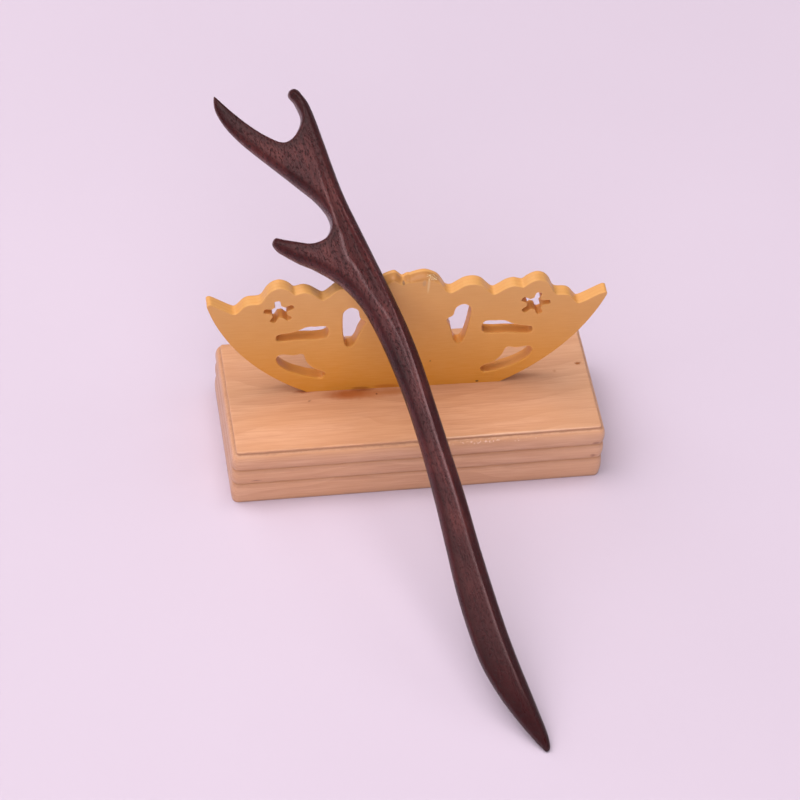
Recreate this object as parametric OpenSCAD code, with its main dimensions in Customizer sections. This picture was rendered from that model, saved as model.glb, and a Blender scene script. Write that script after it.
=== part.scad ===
// Forked hair stick leaning on its display stand
// Millimetres, +X along the block, +Y away from the viewer, +Z up.
// The origin is the centre of the block's underside.

/* [Hair stick] */
// Length of the stick from the blade's tip to the end of the top tine
stick_length = 178.5; // [150:0.1:200]
// Height of the front crest over the middle plane
crest_rise = 3.3; // [2.4:0.1:4]
// Depth of the back under the middle plane
back_depth = 3; // [2:0.1:3.4]
// How far the stick is raised from lying flat, in degrees
lean = 28.1; // [28.1:0.1:34]
// Where the blade's tip stands, along the block
tip_x = 19.4; // [0:0.1:40]
// Where the blade's tip stands, in front of the block's middle
tip_y = -110.9; // [-125:0.1:-110]
// Height of the tip's middle plane over the floor
tip_z = 0.56; // [0.56:0.01:2]

/* [Plate] */
// Thickness of the pierced plate
plate_thick = 3.6; // [2.5:0.1:5]
// Where the plate's centre line stands, along the block
plate_x = -2.9; // [-8:0.1:8]
// Where the plate's front face stands, across the block
plate_y = -0.4; // [-6:0.1:6]
// Turn of the plate on the block, in degrees
plate_turn = -1.3; // [-4:0.1:4]
// Tilt of the plate's outline in its own plane, in degrees
plate_tilt = -1.4; // [-2:0.1:2]

/* [Block] */
// Length of the block
block_length = 100; // [90:1:120]
// Width of the block
block_width = 42.4; // [36:0.1:50]
// Height of the block up to its flat top
block_height = 18.4; // [18.4:0.1:22]
// Radius of the block's upright corners
corner_radius = 2; // [1:0.1:4]

/* [Hidden] */
$fn = 48;

// Columns of the limb tables: place along the limb, its two edges, its crest,
// the crest's share of the full rise, and how round each edge is from 0 to 1
AT = 0;
EDGE_A = 1;
EDGE_B = 2;
CREST = 3;
RISE = 4;
ROUND_A = 5;
ROUND_B = 6;

// The length of the stick as its tables give it, the tip's curve included
table_length = 178.3;
grow = stick_length / table_length;

// Cuts straight across the stem, from the blade's tip to the top tine:
// [height, left edge, right edge, crest, rise, left round, right round]
stem_cuts = [
    [0.5, -1.6, 0.3, -0.6, 0.30, 0.3, 0.3],
    [4, -4.3, 0.1, -1.5, 0.55, 0, 0],
    [10, -8.3, -1.5, -3.5, 0.80, 0, 0],
    [16, -11.7, -3.2, -5.7, 0.92, 0, 0],
    [23, -14.7, -5.2, -7.9, 1, 0, 0],
    [31, -16.8, -7.2, -10, 1, 0.1, 0],
    [41, -18.7, -9.3, -12.1, 1, 0.2, 0.1],
    [53, -20.2, -11.6, -14.5, 1, 0.3, 0.2],
    [66, -21.8, -13.8, -16.8, 1, 0.5, 0.3],
    [79, -23.8, -16.4, -19.4, 1, 0.7, 0.4],
    [91, -26.2, -18.8, -21.7, 1, 0.8, 0.5],
    [102, -29.1, -21.1, -23.8, 1, 0.9, 0.6],
    [111, -32.1, -23.5, -26, 1, 0.9, 0.6],
    [118, -35.2, -25.8, -28, 1, 1, 0.7],
    [123.9, -39.8, -27.9, -29.9, 1, 1, 0.7],
    [141, -40.9, -34.1, -36.5, 1, 0.8, 0.7],
    [146, -43.4, -35.9, -38.2, 1, 0.9, 0.7],
    [151.7, -49, -37.6, -40, 1, 1, 0.7],
    [165, -48, -40.8, -43, 0.95, 0.2, 0.7],
    [169.5, -45.8, -41.9, -43.8, 0.85, 0.4, 0.7],
    [174, -47, -43.3, -45.1, 0.8, 0.6, 0.8],
    [176.3, -48.4, -44.6, -46.5, 0.72, 0.8, 0.8]
];
// Cuts straight up the lower tine: [place, lower edge, upper edge, crest, ...]
lower_cuts = [
    [-46, 128.5, 135.6, 132.6, 0.92, 1, 0.3],
    [-50, 130.6, 136.4, 134, 0.88, 1, 0.4],
    [-53.5, 132.9, 137.4, 135.4, 0.8, 1, 0.6],
    [-55.4, 134.4, 137.9, 136.3, 0.7, 1, 0.8]
];
// Cuts straight up the long left tine
long_cuts = [
    [-55, 157.4, 165.4, 160.6, 0.92, 1, 0.2],
    [-59, 161.2, 168.5, 164, 0.88, 1, 0.2],
    [-62.5, 164.8, 171.9, 167.6, 0.8, 1, 0.2],
    [-65.5, 168.7, 175.2, 171.4, 0.68, 0.8, 0.2],
    [-67.2, 172, 177.2, 174.8, 0.5, 0.5, 0.2]
];
// Where each tine leaves the stem: [row of the stem, crotch's place, crotch's height]
lower_fork = [14, -42.3, 137.1];
long_fork = [17, -50.9, 163.4];
// Round ends past each limb's last cut
top_end = [[-48, 177.7], [-46.8, 178.3], [-45.6, 177.8]];
lower_end = [[-56.4, 136.3]];
long_end = [[-67.9, 174.7], [-67.7, 177.5]];
blade_end = [[-0.7, -0.3]];

// Width of an edge's round and its height as a share of the rise, sharp and full
sharp_edge = [0.8, 0.42];
full_edge = [2.4, 0.86];
// The round's share of the way to the crest is held under this
edge_share = 0.6;
// Steps between two cuts, at each of which the surface is drawn
steps = 3;
// Angles at which the edge's round is drawn on the front and on the back
front_turns = [30, 60, 90];
back_turns = [45, 90];
// The front face swells a little between its edge and its crest
swell = 0.58;

// Half of the plate's top edge from its middle outwards: [place, height]
plate_top = [
    [-0.8, 39.1], [1.2, 40.1], [3.7, 40.7], [5.6, 40.1], [7.4, 38.9], [8.7, 37],
    [9.7, 35.3], [11, 34.8], [12.8, 36], [14.4, 37.2], [16.4, 37.7], [18.2, 37.4],
    [19.6, 36.4], [20.8, 35], [22.4, 33.7], [23.9, 34.6], [25.7, 36], [27.6, 36.6],
    [29.1, 36.2], [30, 36], [31.2, 37.2], [32.7, 38.2], [34.1, 38.5], [35.8, 37.8],
    [37.2, 36.1], [38, 34.3], [39, 33.1], [41.8, 32.8], [43.1, 32], [44.2, 30.5],
    [45.2, 29.5], [46.8, 30.2], [49.4, 31.9], [51.8, 33.3]
];
plate_tip = [52.7, 33];
// The notch at the middle of the top edge is a little to the left
notch_at = [-1.3, 40.3];
notch_radius = 1.6;
// The keel's arc on the right, which the left side mirrors, and the turn
// between its points; the outline runs on under the foot and is cut off there
keel_centre = [-1.1, 49.4];
keel_radius = 56.4;
keel_step = 4;
foot_sink = 2;
// The flower's place and its petals
flower_at = [33.7, 29.8];
flower_reach = 4.5;
petal_width = 1.7;
flower_hub = 2.4;
flower_turn = 79;
petals = 5;
// The pierced drop, the slit and the leaf, as points round their edges
drop_edge = [
    [14.7, 30.5], [16.5, 29.2], [16.5, 25], [16.2, 20.2], [15.3, 16.2], [14.3, 15.7],
    [13.5, 18], [12.9, 21], [11.6, 23.4], [10.9, 25.2], [11.6, 26.6], [12.7, 28.9]
];
slit_edge = [
    [20.4, 22.4], [21.2, 23.8], [23.8, 23.9], [26.2, 23.8], [28.2, 22.7], [30.6, 21.9],
    [33.4, 21.2], [33.9, 19.9], [32, 18.9], [27.1, 19.3], [23, 19.3], [20.8, 20]
];
leaf_edge = [
    [20.7, 6.4], [24, 8.4], [25.9, 10.9], [27, 13.7], [29.5, 13.4], [32.9, 13.8],
    [33.9, 12.2], [32.9, 9.9], [30.6, 7.8], [27.8, 6.3], [24.5, 5], [21.4, 4.6]
];

// Height and inset of the step round the block's raised top
quirk_height = block_height - 0.95;
quirk_inset = 1.25;
// The block's three rounded mouldings:
// [foot, head, inset at the foot, inset at the head]
mouldings = [
    [0, 6.95, 0.5, 0.8],
    [7.15, 12.15, 0.8, 0.8],
    [12.35, quirk_height, 0.8, quirk_inset]
];
// How full each moulding's round is, and the turn between its points
moulding_fullness = 0.6;
moulding_turn = 15;
// Bevel on the edge of the raised top
arris = 0.25;

// A share t of the way from one value or point to another
function between(a, b, t) = a + (b - a) * t;

// Direction of a smooth curve at its middle point
function heading(a, b, c) = (c - a) / (norm(c - b) + norm(b - a));

// Point at t on a smooth curve from b to c, with a before and d after them
function curve(a, b, c, d, t) =
    let (
        reach = norm(c - b),
        leave = heading(a, b, c) * reach,
        arrive = heading(b, c, d) * reach
    )
    b * (2 * t ^ 3 - 3 * t ^ 2 + 1) + leave * (t ^ 3 - 2 * t ^ 2 + t)
        + c * (3 * t ^ 2 - 2 * t ^ 3) + arrive * (t ^ 3 - t ^ 2);

// A smooth closed line through points, and a smooth open one
function closed_line(p) = [
    for (i = [0:len(p) - 1])
        for (j = [0:steps - 1])
            curve(p[(i - 1 + len(p)) % len(p)], p[i], p[(i + 1) % len(p)], p[(i + 2) % len(p)], j / steps)
];
function open_point(p, i, t) =
    curve(p[max(i - 1, 0)], p[i], p[min(i + 1, len(p) - 1)], p[min(i + 2, len(p) - 1)], t);
function open_line(p) = [
    for (i = [0:len(p) - 2])
        for (j = [0:steps - 1])
            open_point(p, i, j / steps)
];

// A cut of a limb as [edge A, edge B, crest, rise, round A, round B]
function across(r) = [
    [r[EDGE_A], r[AT]], [r[EDGE_B], r[AT]], [r[CREST], r[AT]], r[RISE], r[ROUND_A], r[ROUND_B]
];
function upright(r) = [
    [r[AT], r[EDGE_A]], [r[AT], r[EDGE_B]], [r[AT], r[CREST]], r[RISE], r[ROUND_A], r[ROUND_B]
];
stem = [for (r = stem_cuts) across(r)];
function tine(fork, cuts) =
    let (root = stem[fork[0]])
    concat(
        [[root[0], [fork[1], fork[2]], root[2], root[3], root[4], 0.2]],
        [for (r = cuts) upright(r)]
    );
limbs = [stem, tine(lower_fork, lower_cuts), tine(long_fork, long_cuts)];

// A post of the outline: [point, round, limb and tick before it, limb and tick after it]
function post(limb, i, side) =
    let (cut = limbs[limb][i])
    [cut[side], cut[4 + side], limb, i * steps, limb, i * steps];
function side_a(limb, from, to) = [for (i = [from:to]) post(limb, i, 0)];
function side_b(limb, from, to) = [for (i = [to:-1:from]) post(limb, i, 1)];
function end_posts(limb, i, points) = [
    for (p = points) [p, limbs[limb][i][4], limb, i * steps, limb, i * steps]
];
// A tine is walked out along its lower edge, round its end and back into the crotch
function walk_tine(limb, fork, end) =
    let (
        root = limbs[limb][0],
        last = len(limbs[limb]) - 1,
        tick = fork[0] * steps
    )
    concat(
        [[root[0], root[4], 0, tick, limb, 0]],
        side_a(limb, 1, last),
        end_posts(limb, last, end),
        side_b(limb, 1, last),
        [[root[1], root[5], limb, 0, 0, tick]]
    );
top_row = len(stem) - 1;
posts = concat(
    side_a(0, 0, lower_fork[0] - 1),
    walk_tine(1, lower_fork, lower_end),
    side_a(0, lower_fork[0] + 1, long_fork[0] - 1),
    walk_tine(2, long_fork, long_end),
    side_a(0, long_fork[0] + 1, top_row),
    end_posts(0, top_row, top_end),
    side_b(0, 0, top_row),
    end_posts(0, 0, blade_end)
);

// Crest of a limb and its rise, at a count of ticks from the limb's root
function crest(limb, tick) =
    let (rows = limbs[limb], i = min(floor(tick / steps), len(rows) - 2))
    open_point([for (r = rows) r[2]], i, tick / steps - i);
function rise(limb, tick) =
    let (rows = limbs[limb], i = min(floor(tick / steps), len(rows) - 2))
    between(rows[i][3], rows[i + 1][3], tick / steps - i);

// One rib of the skin, from the back's crest over the edge to the front's crest
function rib(edge, top, height, roundness) =
    let (
        reach = norm(top - edge),
        way = (top - edge) / reach,
        width = min(between(sharp_edge[0], full_edge[0], roundness), edge_share * reach),
        front = crest_rise * height,
        back = back_depth * height,
        share = between(sharp_edge[1], full_edge[1], roundness),
        middle = (width + reach) / 2
    )
    concat(
        [[each top, -back]],
        [
            for (i = [len(back_turns) - 1:-1:0])
                [each edge + way * width * (1 - cos(back_turns[i])), -back * share * sin(back_turns[i])]
        ],
        [[each edge, 0]],
        [
            for (a = front_turns)
                [each edge + way * width * (1 - cos(a)), front * share * sin(a)]
        ],
        [[each edge + way * middle, front * between(share, 1, swell)]],
        [[each top, front]]
    );

outline = closed_line([for (p = posts) p[0]]);
ribs = [
    for (i = [0:len(posts) - 1])
        for (j = [0:steps - 1])
            let (
                here = posts[i],
                next = posts[(i + 1) % len(posts)],
                tick = here[5] + (next[3] - here[5]) * j / steps,
                edge = outline[i * steps + j]
            )
            rib(edge, crest(here[4], tick), rise(here[4], tick), between(here[1], next[1], j / steps))
];
per_rib = len(ribs[0]);
// The two triangles between four points of neighbouring ribs, without the one
// that has no area where both ribs start from one crest point
function quad(p, i, j, k) =
    let (a = i * per_rib + k, b = a + 1, c = j * per_rib + k + 1, d = c - 1)
    concat(
        p[a] == p[d] ? [] : [[a, d, b]],
        p[b] == p[c] ? [] : [[b, d, c]]
    );

// The stick as it lies flat, its middle plane at z = 0 and the blade's tip at the origin
module stick_blank() {
    points = [for (r = ribs) each r];
    faces = [
        for (i = [0:len(ribs) - 1])
            for (k = [0:per_rib - 2])
                each quad(points, i, (i + 1) % len(ribs), k)
    ];
    scale(grow) polyhedron(points, faces);
}

module hair_stick() {
    color([0.29, 0.17, 0.17])
        translate([tip_x, tip_y, tip_z])
            rotate([lean, 0, 0])
                stick_blank();
}

function on_keel(a) = keel_centre + keel_radius * [cos(a), sin(a)];

module keel_half() {
    first = atan2(plate_tip[1] - keel_centre[1], plate_tip[0] - keel_centre[0]) - keel_step / 4;
    last = -asin((keel_centre[1] + foot_sink) / keel_radius);
    top = open_line(concat(plate_top, [plate_tip]));
    arc = [for (a = [first:-keel_step:last]) on_keel(a)];
    polygon(concat([[plate_top[0][0], -foot_sink]], top, [plate_tip], arc, [on_keel(last)]));
}

module flower() {
    circle(flower_hub);
    for (i = [0:petals - 1])
        rotate(flower_turn + i * 360 / petals) {
            translate([0, -petal_width / 2])
                square([flower_reach - petal_width / 2, petal_width]);
            translate([flower_reach - petal_width / 2, 0])
                circle(petal_width / 2);
        }
}

module pierced_half() {
    difference() {
        keel_half();
        translate(flower_at)
            flower();
        polygon(closed_line(drop_edge));
        polygon(closed_line(slit_edge));
        polygon(closed_line(leaf_edge));
    }
}

module pierced_plate() {
    difference() {
        union() {
            pierced_half();
            mirror([1, 0])
                pierced_half();
        }
        translate(notch_at)
            circle(notch_radius);
    }
}

module stand_plate() {
    margin = 1;
    color([0.81, 0.58, 0.37])
        translate([plate_x, plate_y, block_height])
            rotate([0, 0, plate_turn])
                rotate([90, 0, 0])
                    translate([0, 0, -plate_thick])
                        difference() {
                            rotate(plate_tilt)
                                linear_extrude(plate_thick)
                                    pierced_plate();
                            translate([-block_length / 2, -block_height, -margin])
                                cube([block_length, block_height, plate_thick + 2 * margin]);
                        }
}

// A rectangle with round corners
module round_slab(length, width, radius) {
    square([length - 2 * radius, width], center = true);
    square([length, width - 2 * radius], center = true);
    for (x = [-1, 1])
        for (y = [-1, 1])
            translate([x * (length / 2 - radius), y * (width / 2 - radius)])
                circle(radius);
}

// What is cut from one side of the block: [inset from the side, height]
moulded_face = concat(
    [
        for (m = mouldings)
            for (a = [-90:moulding_turn:90])
                [
                    (a < 0 ? m[2] : m[3]) * (1 - cos(a) ^ moulding_fullness),
                    between(m[0], m[1], 0.5 + sin(a) / 2)
                ]
    ],
    [[quirk_inset, block_height - arris], [quirk_inset + arris, block_height]]
);

module side_waste(length) {
    margin = 3;
    rotate([90, 0, 90])
        translate([0, 0, -length / 2 - margin])
            linear_extrude(length + 2 * margin)
                polygon(concat(
                    [[-margin, block_height + margin], [-margin, -margin], [moulded_face[0][0], -margin]],
                    moulded_face,
                    [[moulded_face[len(moulded_face) - 1][0], block_height + margin]]
                ));
}

module stand_base() {
    color([0.85, 0.62, 0.45])
        difference() {
            linear_extrude(block_height)
                round_slab(block_length, block_width, corner_radius);
            for (turn = [0, 180]) {
                rotate(turn)
                    translate([0, -block_width / 2, 0])
                        side_waste(block_length);
                rotate(turn + 90)
                    translate([0, -block_length / 2, 0])
                        side_waste(block_width);
            }
        }
}

hair_stick();
stand_plate();
stand_base();
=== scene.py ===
"""A forked hair stick of dark wood, leaning on a pierced painted plate that stands on a moulded block.

Lengths in the tables are millimetres. The scene's unit, the metre, comes in at the end of each piece.
"""
import math
from functools import partial

import bmesh
import bpy
import numpy as np
from mathutils import Matrix, Vector, geometry, kdtree


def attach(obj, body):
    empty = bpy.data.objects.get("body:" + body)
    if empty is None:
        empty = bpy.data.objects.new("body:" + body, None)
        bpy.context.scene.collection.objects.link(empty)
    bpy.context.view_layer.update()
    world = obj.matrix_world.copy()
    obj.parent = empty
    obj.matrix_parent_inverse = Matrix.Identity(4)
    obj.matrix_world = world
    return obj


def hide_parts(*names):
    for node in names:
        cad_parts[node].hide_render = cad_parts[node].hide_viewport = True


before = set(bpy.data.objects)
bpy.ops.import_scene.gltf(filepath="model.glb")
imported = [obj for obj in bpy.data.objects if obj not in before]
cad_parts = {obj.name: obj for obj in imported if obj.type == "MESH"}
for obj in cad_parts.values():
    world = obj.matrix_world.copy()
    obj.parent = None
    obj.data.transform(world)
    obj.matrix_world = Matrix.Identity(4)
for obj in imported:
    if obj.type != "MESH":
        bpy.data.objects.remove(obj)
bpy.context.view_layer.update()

MM = 0.001

# The stick lies on its back in the tables, with the blade's tip at the origin
STICK_LENGTH = 178.5
TABLE_LENGTH = 178.3
CREST_RISE = 3.3
BACK_DEPTH = 3.0
STICK_TIP = (19.4, -110.9, 0.56)
STICK_LEAN = math.radians(28.1)
# The grain of the blank runs a little to the left of the tables' upright line
GRAIN_TURN = math.radians(13.5)

PLATE_THICK = 3.6
PLATE_AT = (-2.9, -0.4)
PLATE_TURN = math.radians(-1.3)
PLATE_TILT = math.radians(-1.4)

BLOCK_LENGTH = 100.0
BLOCK_WIDTH = 42.4
BLOCK_HEIGHT = 18.4
CORNER_RADIUS = 2.0

# Cuts straight across the stem, from the blade's tip to the top tine:
# place, left edge, right edge, crest, left round, right round
STEM_CUTS = [
    (0.5, -1.6, 0.3, -0.6, 0.3, 0.3),
    (4, -4.3, 0.1, -1.5, 0, 0),
    (10, -8.3, -1.5, -3.5, 0, 0),
    (16, -11.7, -3.2, -5.7, 0, 0),
    (23, -14.7, -5.2, -7.9, 0, 0),
    (31, -16.8, -7.2, -10, 0.1, 0),
    (41, -18.7, -9.3, -12.1, 0.2, 0.1),
    (53, -20.2, -11.6, -14.5, 0.3, 0.2),
    (66, -21.8, -13.8, -16.8, 0.5, 0.3),
    (79, -23.8, -16.4, -19.4, 0.7, 0.4),
    (91, -26.2, -18.8, -21.7, 0.8, 0.5),
    (102, -29.1, -21.1, -23.8, 0.9, 0.6),
    (111, -32.1, -23.5, -26, 0.9, 0.6),
    (118, -35.2, -25.8, -28, 1, 0.7),
    (123.9, -39.8, -27.9, -29.9, 1, 0.7),
    (141, -40.9, -34.1, -36.5, -0.9, 0.7),
    (146, -43.4, -35.9, -38.2, 0.4, 0.7),
    (151.7, -49, -37.6, -40, 1, 0.7),
    (165, -48, -40.8, -43, -1, 0.7),
    (169.5, -45.8, -41.9, -43.8, -0.8, 0.7),
    (174, -47, -43.3, -45.1, 0, 0.8),
    (176.3, -48.4, -44.6, -46.5, 0.8, 0.8),
]
# Cuts straight up the lower tine and the long tine:
# place, lower edge, upper edge, lower round, upper round
LOWER_CUTS = [
    (-46, 128.5, 135.6, 1, -1),
    (-50, 130.6, 136.4, 1, -0.8),
    (-53.5, 132.9, 137.4, 1, -0.3),
    (-55.4, 134.4, 137.9, 1, 0.6),
]
LONG_CUTS = [
    (-55, 157.4, 165.4, 1, -1),
    (-59, 161.2, 168.5, 1, -1),
    (-62.5, 164.8, 171.9, 1, -0.8),
    (-65.5, 168.7, 175.2, 0.8, -0.5),
    (-67.2, 172, 177.2, 0.5, -0.2),
]
# Where each tine leaves the stem: row of the stem, crotch's place, crotch's height
LOWER_FORK = (14, -42.3, 137.1)
LONG_FORK = (17, -50.9, 163.4)
# Round ends past each limb's last cut
TOP_END = [(-48, 177.7), (-46.8, 178.3), (-45.6, 177.8)]
LOWER_END = [(-56.4, 136.3)]
LONG_END = [(-67.9, 174.7), (-67.7, 177.5)]
BLADE_END = [(-0.7, -0.3)]

# Width of an edge's round, the share of the height that it takes, and where the face beyond it
# levels out on a tine: square, sharp and full, for rounds of -1, 0 and 1 in the tables
SQUARE_EDGE = (0.7, 0.86, 1.7)
SHARP_EDGE = (0.8, 0.4, 2.5)
FULL_EDGE = (2.3, 0.84, 3.4)
# A round takes at most this share of its reach
EDGE_SHARE = 0.6
# The right face is filed steep and nearly flat
STEEP_EDGE = (0.9, 0.5)
# The stem's left face reaches its crest up to this row, and is level with the forks past the next
LAST_FACET_ROW = 13
ROOT_REACH = 5.0
STEPS = 8
EDGE_PITCH = 0.35
EDGE_TURNS = [math.radians(15 * k) for k in range(1, 7)]
# A ring's point stays where it is at least this share of its inset away from the whole outline
RING_SHARE = 0.93
# Points inside a face stand in staggered rows: pitch, the rows' share of it, bare rim
FACE_PITCH = 0.42
FACE_ROW = 0.87
FACE_START = 0.5
# How near to a crease a ring's point may lie, and to either of them a point of the face
NEAR_CREASE = 0.18
NEAR_RING = 0.24
# The crest and the ridge are creased between these of their points
CREST_SPAN = slice(6, -8)
RIDGE_SPAN = slice(4, -6)
# How full the left face is, as a power: 1 is flat
FULLNESS = 1.5
# How soft the arris is where two faces meet, along the stem as place and softness, and on the back
STEM_ARRIS = [(0, 0.12), (112, 0.14), (123, 0.2), (141, 0.25), (151, 0.5), (178, 0.6)]
BACK_ARRIS = 0.7
# How much a face still rises beyond its round, and how far in
CROWN = 0.04
CROWN_REACH = 4
# The rise of the faces: up the stem as place and share, and out along the lower and the long tine
STEM_RISE = [(0, 0.28), (4, 0.55), (10, 0.8), (16, 0.92), (23, 1), (31, 1), (151, 1), (158, 0.99),
             (165, 0.93), (169.5, 0.87), (174, 0.8), (178.3, 0.66)]
LOWER_RISE = [(-57, 0.5), (-55.4, 0.56), (-53.5, 0.63), (-50, 0.73), (-46, 0.85), (-41, 1), (-36, 1)]
LONG_RISE = [(-68, 0.3), (-67.2, 0.36), (-65.5, 0.47), (-62.5, 0.57), (-59, 0.65), (-55, 0.73),
             (-50, 0.84), (-43, 1), (-36, 1)]
# The lower tine lies below this height, and the long one above
FORKS_PART = 143

# The shallow channel filed between the stem's crest and a second ridge: ridge's place, depth
RIDGE = [
    (-45, 168, 0), (-43.7, 160, 0.22), (-42.3, 152, 0.42), (-41, 146, 0.55), (-40.4, 144.1, 0.6),
    (-39.7, 140.5, 0.7), (-38.8, 136.4, 0.8), (-38, 131.2, 0.9), (-35.8, 127.5, 0.8),
    (-34.2, 123.9, 0.65), (-32, 119.5, 0.5), (-29.2, 114.5, 0.36), (-26.6, 108, 0.28),
    (-24.6, 100, 0.2), (-22.9, 91, 0.14), (-20.4, 76, 0),
]
# Place of the channel's floor between ridge and crest, and how soft it is
CHANNEL_FLOOR = 0.7
CHANNEL_SOFT = 0.25
# Painted highlight along the crest and along the ridge: place along the stem, share, and half width
CREST_HIGHLIGHT = [(0, 0.7, 0.38), (60, 0.9, 0.38), (85, 1.1, 0.38), (118, 1, 0.4), (128, 0.9, 0.6),
              (146, 0.8, 0.7), (152, 0.3, 0.7), (160, 0, 0.7)]
RIDGE_HIGHLIGHT = [(76, 0, 0.38), (95, 0.3, 0.38), (108, 0.6, 0.38), (126, 0.8, 0.38), (131, 1.3, 0.45),
              (135, 1.3, 0.45), (138, 0.8, 0.4), (141, 1.3, 0.45), (145, 1.1, 0.45), (150, 0.4, 0.4),
              (160, 0, 0.4)]
# Painted shade in the channel: darkness for each millimetre of its depth
CHANNEL_SHADE = 1.0
# Painted shade in a band inside the left edges: darkness, distance from the edge, half width
EDGE_SHADE = (0.7, 1.5, 0.9)
# Painted shade on the right face: darkness, reach from the edge, fade
RIGHT_FACE_SHADE = (0.7, 2.9, 0.8)
# Painted reflection on the rims of the tines: share, width, and the row and the rows over which it begins
RIM_REFLECTION = (1.3, 0.4, 116, 8)

# Half of the plate's top edge from its middle outwards, and the notch between its middle lobes
PLATE_TOP = [
    (-0.8, 39.1), (1.2, 40.1), (3.7, 40.7), (5.6, 40.1), (7.4, 38.9), (8.7, 37),
    (9.7, 35.3), (11, 34.8), (12.8, 36), (14.4, 37.2), (16.4, 37.7), (18.2, 37.4),
    (19.6, 36.4), (20.8, 35), (22.4, 33.7), (23.9, 34.6), (25.7, 36), (27.6, 36.6),
    (29.1, 36.2), (30, 36), (31.2, 37.2), (32.7, 38.2), (34.1, 38.5), (35.8, 37.8),
    (37.2, 36.1), (38, 34.3), (39, 33.1), (41.8, 32.8), (43.1, 32), (44.2, 30.5),
    (45.2, 29.5), (46.8, 30.2), (49.4, 31.9), (51.8, 33.3), (52.7, 33),
]
NOTCH_AT = (-1.9, 38.8)
NOTCH_SLOPE = 0.9
NOTCH_POWER = 1.3
NOTCH_SOFT = 0.4
KEEL_CENTRE = (-1.1, 49.4)
KEEL_RADIUS = 56.4
KEEL_STEPS = 60
FOOT_SINK = 2.0
FLOWER_AT = (33.7, 29.8)
FLOWER_REACH = 4.05
PETAL_WIDTH = 1.55
PETAL_CORNER = 0.4
FLOWER_HUB = 2.1
FLOWER_TURN = 79
PETALS = 5
DROP_EDGE = [
    (16.9, 28.1), (16.6, 29.1), (15.9, 29.9), (15, 30.4), (13.9, 30.1), (13, 29.3),
    (12.6, 28), (12.4, 26.6), (11.9, 26), (11.1, 25.4), (10.8, 24.7), (11.3, 23.4),
    (11.9, 22), (12.4, 20.4), (12.7, 18.9), (13.2, 17.3), (14, 16.1), (14.8, 15.8),
    (15.6, 16.8), (16.1, 18.8), (16.5, 21.6), (16.8, 25.2),
]
SLIT_EDGE = [
    (20.4, 22.4), (21.2, 23.8), (23.8, 23.9), (26.2, 23.8), (28.2, 22.7), (30.6, 21.9),
    (33.1, 21.4), (33.9, 20.9), (33.9, 19.4), (33.2, 18.9), (27.1, 19.3), (23, 19.3), (20.8, 20),
]
LEAF_EDGE = [
    (20.7, 6.4), (24, 8.4), (25.9, 10.9), (27, 13.7), (29.5, 13.4), (32.9, 13.8),
    (33.9, 12.2), (32.9, 9.9), (30.6, 7.8), (27.8, 6.3), (24.5, 5), (21.4, 4.6),
]
# How far each leaf lies from its mirror place: right copy and left copy
LEAF_SHIFT = (0.9, 0.3)
# Inset and depth of the plate's sawn arris, of the sanded one of its holes, and of the worn one
SAWN_ARRIS = (0.22, 0.22)
PIERCED_ARRIS = (0.38, 0.38)
WORN_ARRIS = (1.4, 2.4)
# The worn arris is on the two middle lobes: the line between them, each crown's distance from it,
# fullness and spread of the wear round the crown, and the height and the rise over which it begins
LOBES_AT = -0.3
LOBE_CROWN = 4.4
LOBE_WEAR = (1.25, 4.6)
WEAR_FOOT = (37, 1.6)
# It is half as wide at the notch's left corner: the corner's distance from the notch, and its reach
CORNER_OUT = 2
CORNER_REACH = 1.2
FOOT_ARRIS = 0.05
# Spacing of points on the plate's outline and round its holes, and the flat ring's width
PLATE_PITCH = 0.45
HOLE_PITCH = 0.4
FLAT_RING = 0.12
WALL_STEPS = 6
PLATE_TURNS = [math.radians(15 * k) for k in range(7)]

# The block's section from its underside up: foot, head, inset at the foot, inset at the head
QUIRK_HEIGHT = BLOCK_HEIGHT - 0.95
QUIRK_INSET = 1.25
MOULDINGS = [
    (0, 7, 0.4, 0.5),
    (7.1, 12.2, 0.5, 0.5),
    (12.3, QUIRK_HEIGHT, 0.5, QUIRK_INSET),
]
# How square each moulding is, as a power, under its middle and over it
UNDER_FULLNESS = 1.8
OVER_FULLNESS = 0.85
PANEL_ARRIS = 0.3
BLOCK_PITCH = 0.6


def linear(text):
    """An sRGB hex colour as a linear one."""
    shades = [int(text[k:k + 2], 16) / 255 for k in (1, 3, 5)]
    return tuple(c / 12.92 if c <= 0.04045 else ((c + 0.055) / 1.055) ** 2.4 for c in shades) + (1.0,)


def add(tree, kind, inputs=None, stops=None, **settings):
    """Adds a node. inputs maps sockets to values, hex colours, nodes or their outputs."""
    made = tree.nodes.new(kind)
    for name, value in settings.items():
        setattr(made, name, value)
    for socket, value in (inputs or {}).items():
        if isinstance(value, str):
            value = linear(value)
        if isinstance(value, bpy.types.Node):
            value = next(o for o in value.outputs if o.enabled)
        if isinstance(value, bpy.types.NodeSocket):
            tree.links.new(value, made.inputs[socket])
        else:
            made.inputs[socket].default_value = value
    if stops:
        points = made.color_ramp.elements
        while len(points) < len(stops):
            points.new(0.5)
        for point, (place, colour) in zip(points, stops):
            point.position = place
            point.color = linear(colour)
    return made


def begin_material(name, place):
    """A new material, the call that adds its nodes, and its coordinates in mm in the piece's frame."""
    material = bpy.data.materials.new(name)
    material.use_nodes = True
    material.node_tree.nodes.clear()
    node = partial(add, material.node_tree)
    place = place.normalized()
    where = node("ShaderNodeMapping", {
        "Vector": node("ShaderNodeTexCoord").outputs["Object"],
        "Location": place.translation, "Rotation": place.to_euler(), "Scale": (MM, MM, MM),
    }, vector_type="TEXTURE")
    return material, node, where


def end_material(node, sockets, relief, strength, depth):
    """Ends a material with a Principled shader and a relief up to depth millimetres high."""
    bump = node("ShaderNodeBump", {"Height": relief, "Strength": strength, "Distance": depth * MM})
    shader = node("ShaderNodeBsdfPrincipled", {**sockets, "Normal": bump})
    node("ShaderNodeOutputMaterial", {"Surface": shader})


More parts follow.
